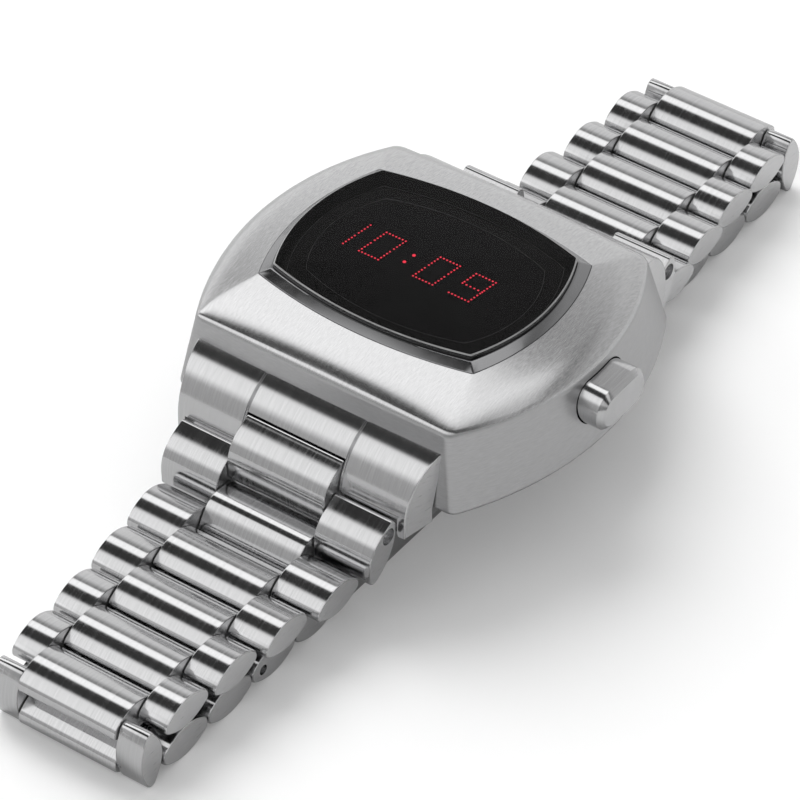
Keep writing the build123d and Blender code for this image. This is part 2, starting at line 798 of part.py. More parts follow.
def make_second_blade():
    """Hinged to the first blade near 6 o'clock, and bent down to the bracelet near 12 o'clock."""
    middle_half_width = blade_half_width / 2
    room = hinge_radius + swing_clearance
    low_z, high_z = second_blade_z - blade_thickness / 2, second_blade_z + blade_thickness / 2
    bend_y = far_clasp_u - bend_length
    with BuildPart() as blade:
        bar_between(blade_half_width, near_hinge_y, bend_y, low_z, high_z)
        bar_between(
            middle_half_width + side_gap, near_hinge_y - overrun, near_hinge_y + room,
            low_z, high_z, Mode.SUBTRACT,
        )
        knuckle(blade_half_width, near_hinge_y, near_hinge_z, hinge_radius)
        knuckle(
            middle_half_width + side_gap, near_hinge_y, near_hinge_z,
            hinge_radius + swing_clearance, Mode.SUBTRACT,
        )
        knuckle(
            blade_half_width, near_hinge_y, near_hinge_z,
            hinge_pin_radius + running_clearance, Mode.SUBTRACT,
        )
        with BuildSketch(Plane.YZ.offset(-blade_half_width)):
            with BuildLine():
                Polyline(
                    (bend_y, high_z),
                    (far_clasp_u - knuckle_radius / 2, lower_layer_z + knuckle_radius / 2),
                    (far_clasp_u - knuckle_radius / 2, lower_layer_z - blade_thickness / 2),
                    (bend_y - blade_thickness / 2, low_z),
                    (bend_y - blade_thickness / 2, high_z),
                    (bend_y, high_z),
                )
            make_face()
        extrude(amount=2 * blade_half_width)
        knuckle(knuckle_half_width, far_clasp_u, lower_layer_z, knuckle_radius)
        knuckle(
            knuckle_half_width, far_clasp_u, lower_layer_z,
            pin_radius + running_clearance, Mode.SUBTRACT,
        )
    save(blade.part, "clasp_second_blade")


os.makedirs("parts", exist_ok=True)
make_case_body()
make_window()
make_display()
make_module()
make_case_back()
make_push_button()
make_end_link(-1, "near_end_link")
make_end_link(1, "far_end_link")
make_spring_bar(-1, "near_spring_bar")
make_spring_bar(1, "far_spring_bar")
make_bracelet(-1, near_pins, near_directions, "near", True)
make_bracelet(1, far_pins, far_directions, "far", False)
make_clasp_cover()
make_clasp_buttons()
make_first_blade()
make_second_blade()
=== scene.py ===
import bpy
import json
import math
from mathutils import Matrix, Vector


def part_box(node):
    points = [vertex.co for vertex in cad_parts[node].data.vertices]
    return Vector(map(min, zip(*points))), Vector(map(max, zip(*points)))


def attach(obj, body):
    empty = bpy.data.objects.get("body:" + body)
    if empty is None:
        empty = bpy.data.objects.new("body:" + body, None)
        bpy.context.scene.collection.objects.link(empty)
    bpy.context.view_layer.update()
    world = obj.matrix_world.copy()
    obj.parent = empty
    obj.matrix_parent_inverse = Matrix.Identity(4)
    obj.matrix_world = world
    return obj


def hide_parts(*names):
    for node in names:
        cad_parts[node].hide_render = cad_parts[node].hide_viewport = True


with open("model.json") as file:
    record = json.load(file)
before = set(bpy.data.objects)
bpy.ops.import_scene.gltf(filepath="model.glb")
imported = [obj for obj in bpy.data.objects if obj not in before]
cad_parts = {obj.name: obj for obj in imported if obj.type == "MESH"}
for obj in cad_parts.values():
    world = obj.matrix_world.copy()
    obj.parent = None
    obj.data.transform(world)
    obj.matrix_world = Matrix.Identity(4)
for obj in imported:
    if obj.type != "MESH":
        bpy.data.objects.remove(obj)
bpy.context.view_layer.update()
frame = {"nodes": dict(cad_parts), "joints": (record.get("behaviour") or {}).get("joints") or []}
nodes = frame["nodes"]

# Lengths below are in millimetres, and the scene is in metres.
MM = 0.001

# Camera at the photograph's angle
view_target = Vector((5.49, -11.56, 14.52)) * MM
view_distance = 498 * MM
view_azimuth = math.radians(35.92)
view_elevation = math.radians(41.06)
view_lens = 246.9
sensor_width = 36
clip_near = 0.01
clip_far = 10

# Case, as in the source: four bowed sides that meet in rounded corners
case_half_width = 20.4
case_corner_x = 15.5
case_corner_y = 17.35
case_end_bow = 0.15
case_corner_radius = 1.3
case_under_z = 8.6
case_under_inset = 2.4
case_rim_z = 9.8
case_rim_round = 0.3
case_shoulder_z = 17.3
case_shoulder_inset = 1.35
case_shoulder_end_inset = 1.7
case_shoulder_round = 0.5
case_front_rise = 1.0
case_front_reach = 0.85
case_top_slope = math.tan(math.radians(10))
case_top_power = 6
case_window_z = 19.5
case_edge_round = 0.06
rim_round_steps = 4
shoulder_round_steps = 10
case_top_steps = 16
# Rings of the case shell, from below, that have the wall's grain and its painted shade: up to the
# shoulder's bend
wall_rings = 11

# Window: crystal, its polished rim, the dark ring below the glass and the well of the display
window_corner_x = 11.1
window_corner_y = 8.5
window_side_bow = 2.0
window_end_bow = 1.55
window_corner_radius = 0.3
rim_width = 0.95
rim_height = 0.5
rim_lip = 0.2
rim_foot = 0.02
rim_foot_round = 0.03
rim_edge = 0.04
seat_gap = 0.015
glass_bottom_z = 19.0
glass_top_z = 20.75
glass_edge = 0.1
glass_dome = 0.2
glass_shares = (1, 0.85, 0.7, 0.55, 0.4, 0.25, 0.1)
ledge_z = 18.8
ledge_inset = 1.0
well_floor_z = 17.4
mask_bottom_z = 18.86
mask_step_z = 18.95
mask_top_z = 18.99
mask_step_inset = 0.9
mask_inner_inset = 2.2
mask_lip = 0.05

# Push-button's pocket in the case wall
button_y = 0.4
button_z = 14.4
button_length = 7.5
button_height = 4.3
pocket_gap = 0.12
pocket_floor_x = 18.0
pocket_mouth_x = 24.0
pocket_steps = 16

# Dots of the display, which shows a generic time
dot_radius = 0.088
colon_radius = 0.17
dot_thickness = 0.03
dot_steps = 12
dot_z = 18.952
digit_centre_x = -2.1
digit_centre_y = 0.4
digit_offsets = (-7.1, -3.075, 3.075, 7.1)
digit_half_width = 1.1
digit_half_height = 1.825
digit_slant = math.tan(math.radians(7.9))
upright_gap = 0.53
upright_dots = 5
level_dots = 7
middle_dots = 6
colon_low_y = -0.66
colon_high_y = 0.6


# Camera, room and floor


def make_camera():
    data = bpy.data.cameras.new("camera")
    data.lens = view_lens
    data.sensor_width = sensor_width
    data.clip_start = clip_near
    data.clip_end = clip_far
    camera = bpy.data.objects.new("camera", data)
    flat = math.cos(view_elevation)
    back = Vector((
        math.sin(view_azimuth) * flat, -math.cos(view_azimuth) * flat, math.sin(view_elevation)
    ))
    camera.location = view_target + back * view_distance
    camera.rotation_mode = "QUATERNION"
    camera.rotation_quaternion = (-back).to_track_quat("-Z", "Y")
    bpy.context.scene.collection.objects.link(camera)
    bpy.context.scene.camera = camera


# How bright the room is at each height round the X axis, in degrees: 0 is the horizon behind the
# watch, 90 is straight up, 180 is the horizon in front of it. A strip light and a black band hang
# across it. The stops were tuned against the white and black bands in the photograph.
STUDIO = (
    (-180, 0.95), (-90, 0.9), (-4, 0.9), (8, 0.88), (34, 0.85), (43, 0.58), (49, 0.36), (56, 0.27),
    (58.5, 1.5), (77, 1.5), (81, 0.05), (104, 0.04), (110, 1.15), (136, 1.2), (143, 0.85),
    (150, 0.5), (180, 0.46),
)
# Brighter from the left than from the right
studio_left = 1.19
studio_right = 0.5


def wire(tree, source, output, target, slot):
    tree.links.new(source.outputs[output], target.inputs[slot])


def fill_ramp(ramp, stops):
    elements = ramp.color_ramp.elements
    while len(elements) < len(stops):
        elements.new(0.5)
    for element, (position, value) in zip(elements, stops):
        element.position = position
        element.color = (value, value, value, 1)


def make_studio():
    world = bpy.data.worlds.new("studio")
    bpy.context.scene.world = world
    world.use_nodes = True
    tree = world.node_tree
    tree.nodes.clear()
    place = tree.nodes.new("ShaderNodeTexCoord")
    split = tree.nodes.new("ShaderNodeSeparateXYZ")
    wire(tree, place, "Generated", split, "Vector")
    angle = tree.nodes.new("ShaderNodeMath")
    angle.operation = "ARCTAN2"
    wire(tree, split, "Z", angle, 0)
    wire(tree, split, "Y", angle, 1)
    turn = tree.nodes.new("ShaderNodeMapRange")
    turn.inputs["From Min"].default_value = -math.pi
    turn.inputs["From Max"].default_value = math.pi
    wire(tree, angle, "Value", turn, "Value")
    ramp = tree.nodes.new("ShaderNodeValToRGB")
    peak = max(value for _, value in STUDIO)
    fill_ramp(ramp, [((degrees + 180) / 360, value / peak) for degrees, value in STUDIO])
    wire(tree, turn, "Result", ramp, "Fac")
    side = tree.nodes.new("ShaderNodeMapRange")
    side.inputs["From Min"].default_value = -1
    side.inputs["From Max"].default_value = 1
    side.inputs["To Min"].default_value = studio_left * peak
    side.inputs["To Max"].default_value = studio_right * peak
    wire(tree, split, "X", side, "Value")
    room = tree.nodes.new("ShaderNodeBackground")
    wire(tree, ramp, "Color", room, "Color")
    wire(tree, side, "Result", room, "Strength")
    white = tree.nodes.new("ShaderNodeBackground")
    white.inputs["Color"].default_value = (1, 1, 1, 1)
    path = tree.nodes.new("ShaderNodeLightPath")
    mix = tree.nodes.new("ShaderNodeMixShader")
    wire(tree, path, "Is Camera Ray", mix, "Fac")
    wire(tree, room, "Background", mix, 1)
    wire(tree, white, "Background", mix, 2)
    out = tree.nodes.new("ShaderNodeOutputWorld")
    wire(tree, mix, "Shader", out, "Surface")


# The floor, with its half width in metres. The camera sees it a little lifted, so it is white.
floor_half = 1.5
floor_colour = (0.86, 0.86, 0.86, 1)
floor_lift = 0.14
# Painted shade: reflections see the floor darker than the camera does, which gives the side faces their
# grey
floor_reflected_shade = (0.66, 0.66, 0.66, 1)


def make_floor():
    corners = [(-floor_half, -floor_half, 0), (floor_half, -floor_half, 0),
               (floor_half, floor_half, 0), (-floor_half, floor_half, 0)]
    mesh = bpy.data.meshes.new("floor")
    mesh.from_pydata(corners, [], [(0, 1, 2, 3)])
    floor = bpy.data.objects.new("floor", mesh)
    bpy.context.scene.collection.objects.link(floor)
    material = bpy.data.materials.new("floor")
    material.use_nodes = True
    tree = material.node_tree
    shader = tree.nodes["Principled BSDF"]
    shader.inputs["Base Color"].default_value = floor_colour
    shader.inputs["Roughness"].default_value = 1
    shader.inputs["Specular IOR Level"].default_value = 0
    shader.inputs["Emission Color"].default_value = (1, 1, 1, 1)
    path = tree.nodes.new("ShaderNodeLightPath")
    lift = tree.nodes.new("ShaderNodeMath")
    lift.operation = "MULTIPLY"
    lift.inputs[1].default_value = floor_lift
    wire(tree, path, "Is Camera Ray", lift, 0)
    wire(tree, lift, "Value", shader, "Emission Strength")
    # Painted shade: the floor that reflections see is this darker grey
    dim = tree.nodes.new("ShaderNodeBsdfDiffuse")
    dim.inputs["Color"].default_value = floor_reflected_shade
    mix = tree.nodes.new("ShaderNodeMixShader")
    wire(tree, path, "Is Glossy Ray", mix, "Fac")
    wire(tree, shader, "BSDF", mix, 1)
    wire(tree, dim, "BSDF", mix, 2)
    wire(tree, mix, "Shader", tree.nodes["Material Output"], "Surface")
    mesh.materials.append(material)


lamp_way = Vector((-0.55, 0.35, 0.76))
lamp_strength = 1.75
lamp_spread = 45


def make_lamp():
    """A broad soft light from the upper left, which draws the shadow to the right of the watch."""
    data = bpy.data.lights.new("soft_light", "SUN")
    data.energy = lamp_strength
    data.angle = math.radians(lamp_spread)
    lamp = bpy.data.objects.new("soft_light", data)
    lamp.rotation_mode = "QUATERNION"
    lamp.rotation_quaternion = (-lamp_way).to_track_quat("-Z", "Y")
    lamp.visible_glossy = False
    lamp.visible_transmission = False
    bpy.context.scene.collection.objects.link(lamp)


# Materials

# Most of a noise lies between these
noise_low = 0.3
noise_high = 0.7
steel_relief = 0.02
fine_relief = 0.01


def new_material(name):
    material = bpy.data.materials.new(name)
    material.use_nodes = True
    return material, material.node_tree, material.node_tree.nodes["Principled BSDF"]


def noise_field(tree, scale, detail=3):
    """A noise over the object's own coordinates, with a scale per millimetre along each axis."""
    place = tree.nodes.new("ShaderNodeTexCoord")
    stretch = tree.nodes.new("ShaderNodeMapping")
    stretch.inputs["Scale"].default_value = [value / MM for value in scale]
    noise = tree.nodes.new("ShaderNodeTexNoise")
    noise.inputs["Scale"].default_value = 1
    noise.inputs["Detail"].default_value = detail
    wire(tree, place, "Object", stretch, "Vector")
    wire(tree, stretch, "Vector", noise, "Vector")
    return noise


def spread(tree, noise, low, high):
    """The noise's middle range mapped to low and high."""
    ranged = tree.nodes.new("ShaderNodeMapRange")
    ranged.inputs["From Min"].default_value = noise_low
    ranged.inputs["From Max"].default_value = noise_high
    ranged.inputs["To Min"].default_value = low
    ranged.inputs["To Max"].default_value = high
    wire(tree, noise, "Fac", ranged, "Value")
    return ranged


def tint(tree, shader, noise, colour, amount):
    """A colour that the noise makes darker and lighter by an amount."""
    ramp = tree.nodes.new("ShaderNodeValToRGB")
    dark, light = ramp.color_ramp.elements
    dark.position = noise_low
    light.position = noise_high
    dark.color = (*[value * (1 - amount) for value in colour], 1)
    light.color = (*[min(1, value * (1 + amount)) for value in colour], 1)
    wire(tree, noise, "Fac", ramp, "Fac")
    wire(tree, ramp, "Color", shader, "Base Color")


def relief(tree, shader, noise, strength, depth):
    """The noise as a bump with a depth in millimetres."""
    bump = tree.nodes.new("ShaderNodeBump")
    bump.inputs["Strength"].default_value = strength
    bump.inputs["Distance"].default_value = depth * MM
    wire(tree, noise, "Fac", bump, "Height")
    wire(tree, bump, "Normal", shader, "Normal")


def brushed_steel(name, colour, roughness, anisotropy, grain, streaks, strength, change=0.3,
                  across=(1, 0.02, 0)):
    """Brushed steel: reflections stay crisp along the grain and blur across it."""
    material, tree, shader = new_material(name)
    shader.inputs["Metallic"].default_value = 1
    shader.inputs["Anisotropic"].default_value = anisotropy
    noise = noise_field(tree, grain)
    rough = spread(tree, noise, roughness * (1 - change), roughness * (1 + change))
    wire(tree, rough, "Result", shader, "Roughness")
    tint(tree, shader, noise, colour, streaks)
    relief(tree, shader, noise, strength, steel_relief)
    way = tree.nodes.new("ShaderNodeCombineXYZ")
    for axis, value in zip("XYZ", across):
        way.inputs[axis].default_value = value
    turn = tree.nodes.new("ShaderNodeVectorTransform")
    turn.vector_type = "VECTOR"
    turn.convert_from = "OBJECT"
    turn.convert_to = "WORLD"
    wire(tree, way, "Vector", turn, "Vector")
    wire(tree, turn, "Vector", shader, "Tangent")
    return material


def grained(name, colour, roughness, metallic=0.0, scale=3.0, amount=0.12, strength=0.1, coat=0.0,
            specular=0.5):
    """Any other finish: an even colour with faint mottling and a fine relief."""
    material, tree, shader = new_material(name)
    shader.inputs["Metallic"].default_value = metallic
    shader.inputs["Coat Weight"].default_value = coat
    shader.inputs["Specular IOR Level"].default_value = specular
    noise = noise_field(tree, (scale, scale, scale))
    rough = spread(tree, noise, roughness * 0.85, roughness * 1.15)
    wire(tree, rough, "Result", shader, "Roughness")
    tint(tree, shader, noise, colour, amount)
    relief(tree, shader, noise, strength, fine_relief)
    return material


def glass_material():
    """Dark glass. Its index is lower than real glass has, so that it reflects as little as pictured."""
    material, tree, shader = new_material("smoked_glass")
    shader.inputs["Transmission Weight"].default_value = 1
    shader.inputs["IOR"].default_value = 1.2
    shader.inputs["Roughness"].default_value = 0
    noise = noise_field(tree, (0.4, 0.4, 0.4))
    tint(tree, shader, noise, (0.7, 0.69, 0.69), 0.02)
    return material


def glow_material():
    material, tree, shader = new_material("display_dots")
    shader.inputs["Base Color"].default_value = (0.25, 0.01, 0.02, 1)
    shader.inputs["Roughness"].default_value = 0.4
    shader.inputs["Emission Color"].default_value = (1.0, 0.03, 0.07, 1)
    noise = noise_field(tree, (4, 4, 4))
    level = spread(tree, noise, 1.0, 1.4)
    wire(tree, level, "Result", shader, "Emission Strength")
    return material


def make_materials():
    steel = {
        "case": brushed_steel("case_steel", (0.60, 0.60, 0.605), roughness=0.24, anisotropy=0.4,
                              grain=(12, 1.4, 1.4), streaks=0.1, strength=0.035, change=0.12),
        # The wall's upright grain is real; its colour, darker than the top's, is painted shade
        "wall": brushed_steel("wall_steel_painted_shade", (0.50, 0.50, 0.505), roughness=0.33, anisotropy=0.2,
                              grain=(1.2, 1.2, 12), streaks=0.07, strength=0.03, change=0.1,
                              across=(0.02, 0.02, 1)),
        "links": brushed_steel("link_steel", (0.60, 0.60, 0.605), roughness=0.15, anisotropy=0.75,
                               grain=(10, 0.2, 0.2), streaks=0.07, strength=0.06, change=0.4),
        "satin": brushed_steel("satin_steel", (0.61, 0.61, 0.615), roughness=0.17, anisotropy=0.6,
                               grain=(11, 0.4, 0.4), streaks=0.06, strength=0.02, change=0.2),
        # Side faces: the upright grain is real; their colour, lighter than the links' steel, is painted
        # light
        "sides": brushed_steel("side_steel_painted_light", (0.74, 0.74, 0.745), roughness=0.32, anisotropy=0.3,
                               grain=(0.8, 0.8, 8), streaks=0.04, strength=0.02, change=0.15,
                               across=(0, 0.02, 1)),
        # The rim's polished steel, darkened as painted shade
        "rim": grained("rim_steel_painted_shade", (0.30, 0.30, 0.305), 0.2, metallic=1, scale=0.6,
                       amount=0.02, strength=0.02),
        "polished": grained("polished_steel", (0.72, 0.72, 0.725), 0.12, metallic=1, scale=0.6,
                            amount=0.02, strength=0.02),
        "cell": grained("cell_steel", (0.62, 0.62, 0.63), 0.2, metallic=1, scale=1.5, amount=0.04),
    }
    window = {
        "glass": glass_material(),
        # Black print of the ring below the glass; on the case's ledge and well the same black is
        # painted shade
        "print_and_shade": grained("black_print_and_shade", (0.004, 0.004, 0.004), 0.3, scale=0.5, amount=0.3,
                         strength=0.002, specular=0),
        # Lips of the black ring's steps: a lighter grey as painted highlights on their edges
        "lip": grained("grey_lip_painted_highlight", (0.08, 0.08, 0.08), 0.5, scale=0.5, amount=0.3, strength=0.002,
                       specular=0),
        # The glass's bevelled edge: an opaque grey, a painted highlight
        "edge": grained("glass_edge", (0.32, 0.32, 0.32), 0.3, scale=0.5, amount=0.2,
                        strength=0.002),
        "side": grained("glass_side", (0.01, 0.01, 0.01), 0.05, scale=0.5, amount=0.3,
                        strength=0.002, coat=1.0),
        "display": grained("display_black", (0.003, 0.003, 0.0035), 0.3, scale=0.5, amount=0.3,
                           strength=0.002, specular=0),
        "dots": glow_material(),
    }
    module = {
        "board": grained("board_green", (0.03, 0.14, 0.07), 0.45, scale=1.2),
        "holder": grained("holder_black", (0.03, 0.03, 0.03), 0.6, scale=6, strength=0.25),
        "brass": grained("contact_brass", (0.55, 0.40, 0.16), 0.3, metallic=1, scale=2, amount=0.06),
        "rubber": grained("seal_rubber", (0.02, 0.02, 0.02), 0.75, scale=8, strength=0.3),
    }
    return {**steel, **window, **module}


# Mesh helpers


def add_mesh(name, points, faces, materials, face_materials=None):
    mesh = bpy.data.meshes.new(name)
    mesh.from_pydata([tuple(value * MM for value in point) for point in points], [], faces)
    for material in materials:
        mesh.materials.append(material)
    if face_materials:
        mesh.polygons.foreach_set("material_index", face_materials)
    piece = bpy.data.objects.new(name, mesh)
    bpy.context.scene.collection.objects.link(piece)
    mesh.validate()
    return piece


def finish_shading(piece, angle=30):
    piece.data.polygons.foreach_set("use_smooth", [True] * len(piece.data.polygons))
    piece.data.set_sharp_from_angle(angle=math.radians(angle))
    normals = piece.modifiers.new("normals", "WEIGHTED_NORMAL")
    normals.keep_sharp = True


def arc_points(centre, radius, start, end, count):
    """Points from start to end, in radians, both included."""
    angles = [start + (end - start) * k / count for k in range(count + 1)]
    return [(centre[0] + radius * math.cos(a), centre[1] + radius * math.sin(a)) for a in angles]


def bowed_outline(half_x, corner_x, corner_y, half_y, radius, side=16, corner=6, end=16):
    """Points round four bowed sides with rounded corners, from 3 o'clock and turning left."""
    side_bow = half_x - corner_x
    side_radius = (corner_y**2 + side_bow**2) / (2 * side_bow)
    end_bow = half_y - corner_y
    end_radius = (corner_x**2 + end_bow**2) / (2 * end_bow)
    side_centre = Vector((half_x - side_radius, 0))
    end_centre = Vector((0, half_y - end_radius))
    apart = end_centre - side_centre
    reach = side_radius - radius
    along = (reach**2 - (end_radius - radius)**2 + apart.length_squared) / (2 * apart.length)
    off = math.sqrt(reach**2 - along**2)
    way = apart.normalized()
    tries = [side_centre + way * along + Vector((-way.y, way.x)) * off * s for s in (-1, 1)]
    corner_centre = max(tries, key=lambda point: point.x + point.y)

    def heading(centre, point):
        return math.atan2(point.y - centre.y, point.x - centre.x)

    side_end = heading(side_centre, corner_centre)
    end_start = heading(end_centre, corner_centre)
    quarter = arc_points(side_centre, side_radius, 0, side_end, side)
    quarter += arc_points(corner_centre, radius, side_end, end_start, corner)[1:]
    quarter += arc_points(end_centre, end_radius, end_start, math.pi / 2, end)[1:]
    left = [(-x, y) for x, y in reversed(quarter)][1:]
    low_left = [(-x, -y) for x, y in quarter][1:]
    low_right = [(x, -y) for x, y in reversed(quarter)][1:-1]
    return quarter + left + low_left + low_right


def ring(outline, z):
    return [Vector((x, y, z)) for x, y in outline]


def skin(name, rings, materials, closed=False, ring_materials=None, cap_material=0):
    """A surface through rings of as many points each, from below on the outside."""
    count = len(rings[0])
    points = [point for one in rings for point in one]
    faces = []
    face_materials = []
    spans = len(rings) if closed else len(rings) - 1
    for level in range(spans):
        low = level * count
        high = (level + 1) % len(rings) * count
        for k in range(count):
            after = (k + 1) % count
            faces.append((low + k, low + after, high + after, high + k))
            face_materials.append(ring_materials[level] if ring_materials else 0)
    if not closed:
        faces.append(tuple(reversed(range(count))))
        faces.append(tuple(range(len(points) - count, len(points))))
        face_materials += [cap_material, cap_material]
    return add_mesh(name, points, faces, materials, face_materials)


def rounded(before, corner, after, reach, steps):
    """A soft bend at a corner of a section, as points from one leg to the other."""
    start = corner + (before - corner).normalized() * reach
    end = corner + (after - corner).normalized() * reach
    bend = []
    for k in range(steps + 1):
        t = k / steps
        bend.append(start * (1 - t)**2 + corner * 2 * t * (1 - t) + end * t**2)
    return bend


def settle(piece, body, slot, *replaced):
    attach(piece, body)
    if replaced:
        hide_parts(*replaced)


# Case


def case_outline(inset_x, inset_y):
    return bowed_outline(
        case_half_width - inset_x, case_corner_x - inset_x, case_corner_y - inset_y,
        case_corner_y + case_end_bow - inset_y, case_corner_radius,
    )


def window_outline(margin, radius=window_corner_radius):
    corner_x = window_corner_x + margin
    corner_y = window_corner_y + margin
    return bowed_outline(
        corner_x + window_side_bow, corner_x, corner_y, corner_y + window_end_bow, radius
    )


def shoulder_ring():
    """The shoulder's line, a little fuller towards the front."""
    points = ring(case_outline(case_shoulder_inset, case_shoulder_end_inset), case_shoulder_z)
    for point in points:
        share = (max(0, -point.y) / case_corner_y)**3
        point.y -= case_front_reach * share
        point.z += case_front_rise * share
    return points


def case_section(under, rim, shoulder, window):
    """One line up the case's wall and over its top, at one place round it."""
    points = [under]
    points += rounded(under, rim, shoulder, case_rim_round, rim_round_steps)
    drop = window.z - shoulder.z
    straight = case_top_slope * (shoulder - window).to_2d().length / drop

    def over(t):
        place = shoulder.lerp(window, t)
        down = 1 - t
        place.z = window.z - drop * (straight * down + (1 - straight) * down**case_top_power)
        return place

    near_shoulder, near_window = 0.1, 0.98
    reach = case_shoulder_round / (over(near_shoulder) - shoulder).length * near_shoulder
    points += rounded(rim, shoulder, over(reach), case_shoulder_round, shoulder_round_steps)
    points += [over(reach + (1 - reach) * k / case_top_steps) for k in range(1, case_top_steps)]
    outward = (over(near_window) - window).normalized()
    points += [window + outward * case_edge_round, window - Vector((0, 0, case_edge_round))]
    return points


def make_case(materials):
    margin = rim_width + seat_gap
    levels = (
        ring(case_outline(case_under_inset, case_under_inset), case_under_z),
        ring(case_outline(0, 0), case_rim_z),
        shoulder_ring(),
        ring(window_outline(margin), case_window_z),
    )
    sections = [case_section(*points) for points in zip(*levels)]
    rings = [list(one) for one in zip(*sections)]
    metal_rings = len(rings)
    rings.append(ring(window_outline(margin), ledge_z))
    rings.append(ring(window_outline(-ledge_inset), ledge_z))
    rings.append(ring(window_outline(-ledge_inset), well_floor_z))
    # The walls take the darker steel of painted shade
    parts = [2] * wall_rings + [0] * (metal_rings - wall_rings) + [1, 1]
    # The ledge and the well below the glass take the black as painted shade
    steel = [materials["case"], materials["print_and_shade"], materials["wall"]]
    case = skin("case_shell", rings, steel, ring_materials=parts)
    cut_pocket(case)
    finish_shading(case)
    settle(case, "case", "brushed_steel", "case_body")


def cut_pocket(case):
    """The push-button's pocket, cut into the wall at 3 o'clock."""
    half_y = button_length / 2 + pocket_gap
    radius = button_height / 2 + pocket_gap
    quarter = math.pi / 2
    right = (button_y + half_y - radius, button_z)
    left = (button_y - half_y + radius, button_z)
    slot = arc_points(right, radius, -quarter, quarter, pocket_steps)
    slot += arc_points(left, radius, quarter, 3 * quarter, pocket_steps)
    cut_hole(case, slot, pocket_floor_x, pocket_mouth_x)


def cut_hole(piece, section, low_x, high_x):
    """Cuts a straight hole with a section in Y and Z, from one X to another."""
    rings = [[Vector((x, y, z)) for y, z in section] for x in (low_x, high_x)]
    cutter = skin("cutter", rings, [piece.data.materials[0]])
    cut = piece.modifiers.new("cut", "BOOLEAN")
    cut.operation = "DIFFERENCE"
    cut.solver = "EXACT"
    cut.object = cutter
    bake(piece)
    bpy.data.objects.remove(cutter)


def bake(piece):
    """Puts what the modifiers make into the piece's own mesh."""
    bpy.context.view_layer.update()
    graph = bpy.context.evaluated_depsgraph_get()
    mesh = bpy.data.meshes.new_from_object(piece.evaluated_get(graph))
    piece.modifiers.clear()
    piece.data = mesh


# Window


def make_rim(materials):
    """The polished band round the glass: a low foot, a slope and a narrow level lip."""
    foot_z = case_window_z + rim_foot
    top_z = case_window_z + rim_height
    profile = (
        (rim_width, glass_bottom_z), (rim_width, foot_z),
        (rim_width - rim_foot_round, foot_z + rim_edge),
        (rim_lip + rim_edge, top_z - rim_edge), (rim_lip - rim_edge, top_z),
        (seat_gap + rim_edge, top_z), (seat_gap, top_z - rim_edge), (seat_gap, glass_bottom_z),
    )
    rings = [ring(window_outline(margin), z) for margin, z in profile]
    # The rim's steel is darkened as painted shade
    rim = skin("window_rim", rings, [materials["rim"]], closed=True)
    finish_shading(rim, angle=25)
    settle(rim, "case", "polished_steel", "crystal_rim")


def make_glass(materials):
    """The raised slab of glass: upright dark sides, a bevelled edge in an opaque grey as a painted
    highlight, and a slightly domed top.
    """
    edge_z = glass_top_z - glass_dome
    rings = [ring(window_outline(0), glass_bottom_z), ring(window_outline(0), edge_z - glass_edge)]
    outline = window_outline(-glass_edge)
    for share in glass_shares:
        shrunk = [(x * share, y * share) for x, y in outline]
        rings.append(ring(shrunk, edge_z + glass_dome * (1 - share**2)))
    looks = [materials["glass"], materials["side"], materials["edge"]]
    # The bevel ring takes the opaque grey of the painted highlight
    glass = skin("window_glass", rings, looks, ring_materials=[1, 2] + [0] * (len(rings) - 3))
    finish_shading(glass, angle=20)
    settle(glass, "case", "crystal", "crystal")


def make_mask(materials):
    """The black ring below the glass, with two thin lips painted lighter as highlights."""
    profile = (
        (seat_gap, mask_bottom_z), (seat_gap, mask_top_z), (-mask_step_inset + mask_lip, mask_top_z),
        (-mask_step_inset, mask_top_z), (-mask_step_inset, mask_step_z),
        (-mask_inner_inset + mask_lip, mask_step_z), (-mask_inner_inset, mask_step_z),
        (-mask_inner_inset, mask_bottom_z),
    )
    rings = [ring(window_outline(margin), z) for margin, z in profile]
    # The lips' lighter grey is a painted highlight
    lips = [0, 0, 1, 1, 0, 1, 1, 0]
    looks = [materials["print_and_shade"], materials["lip"]]
    mask = skin("display_mask", rings, looks, closed=True, ring_materials=lips)
    finish_shading(mask)
    settle(mask, "case", "display_black")


def upright(x, half):
    """The dots of one upright stroke, lower (-1) or upper (1) half."""
    near = upright_gap / 2
    step = (digit_half_height - near) / (upright_dots - 1)
    return [(x, half * (near + step * k)) for k in range(upright_dots)]


def level(y, count):
    """The dots of one level stroke."""
    step = 2 * digit_half_width / (count - 1)
    return [(-digit_half_width + step * k, y) for k in range(count)]


def digit_dots(strokes):
    """The dots of one digit, each once, although its strokes share their ends."""
    left = -digit_half_width
    right = digit_half_width
    dots = {
        "top": level(digit_half_height, level_dots),
        "bottom": level(-digit_half_height, level_dots),
        "middle": level(0, middle_dots),
        "left_low": upright(left, -1),
        "left_high": upright(left, 1),
        "right_low": upright(right, -1),
        "right_high": upright(right, 1),
    }
    return {(round(x, 3), round(y, 3)) for stroke in strokes for x, y in dots[stroke]}


# The strokes of each digit of 10:09
STROKES = (
    ("right_low", "right_high"),
    ("top", "bottom", "left_low", "left_high", "right_low", "right_high"),
    ("top", "bottom", "left_low", "left_high", "right_low", "right_high"),
    ("top", "bottom", "middle", "left_high", "right_low", "right_high"),
)


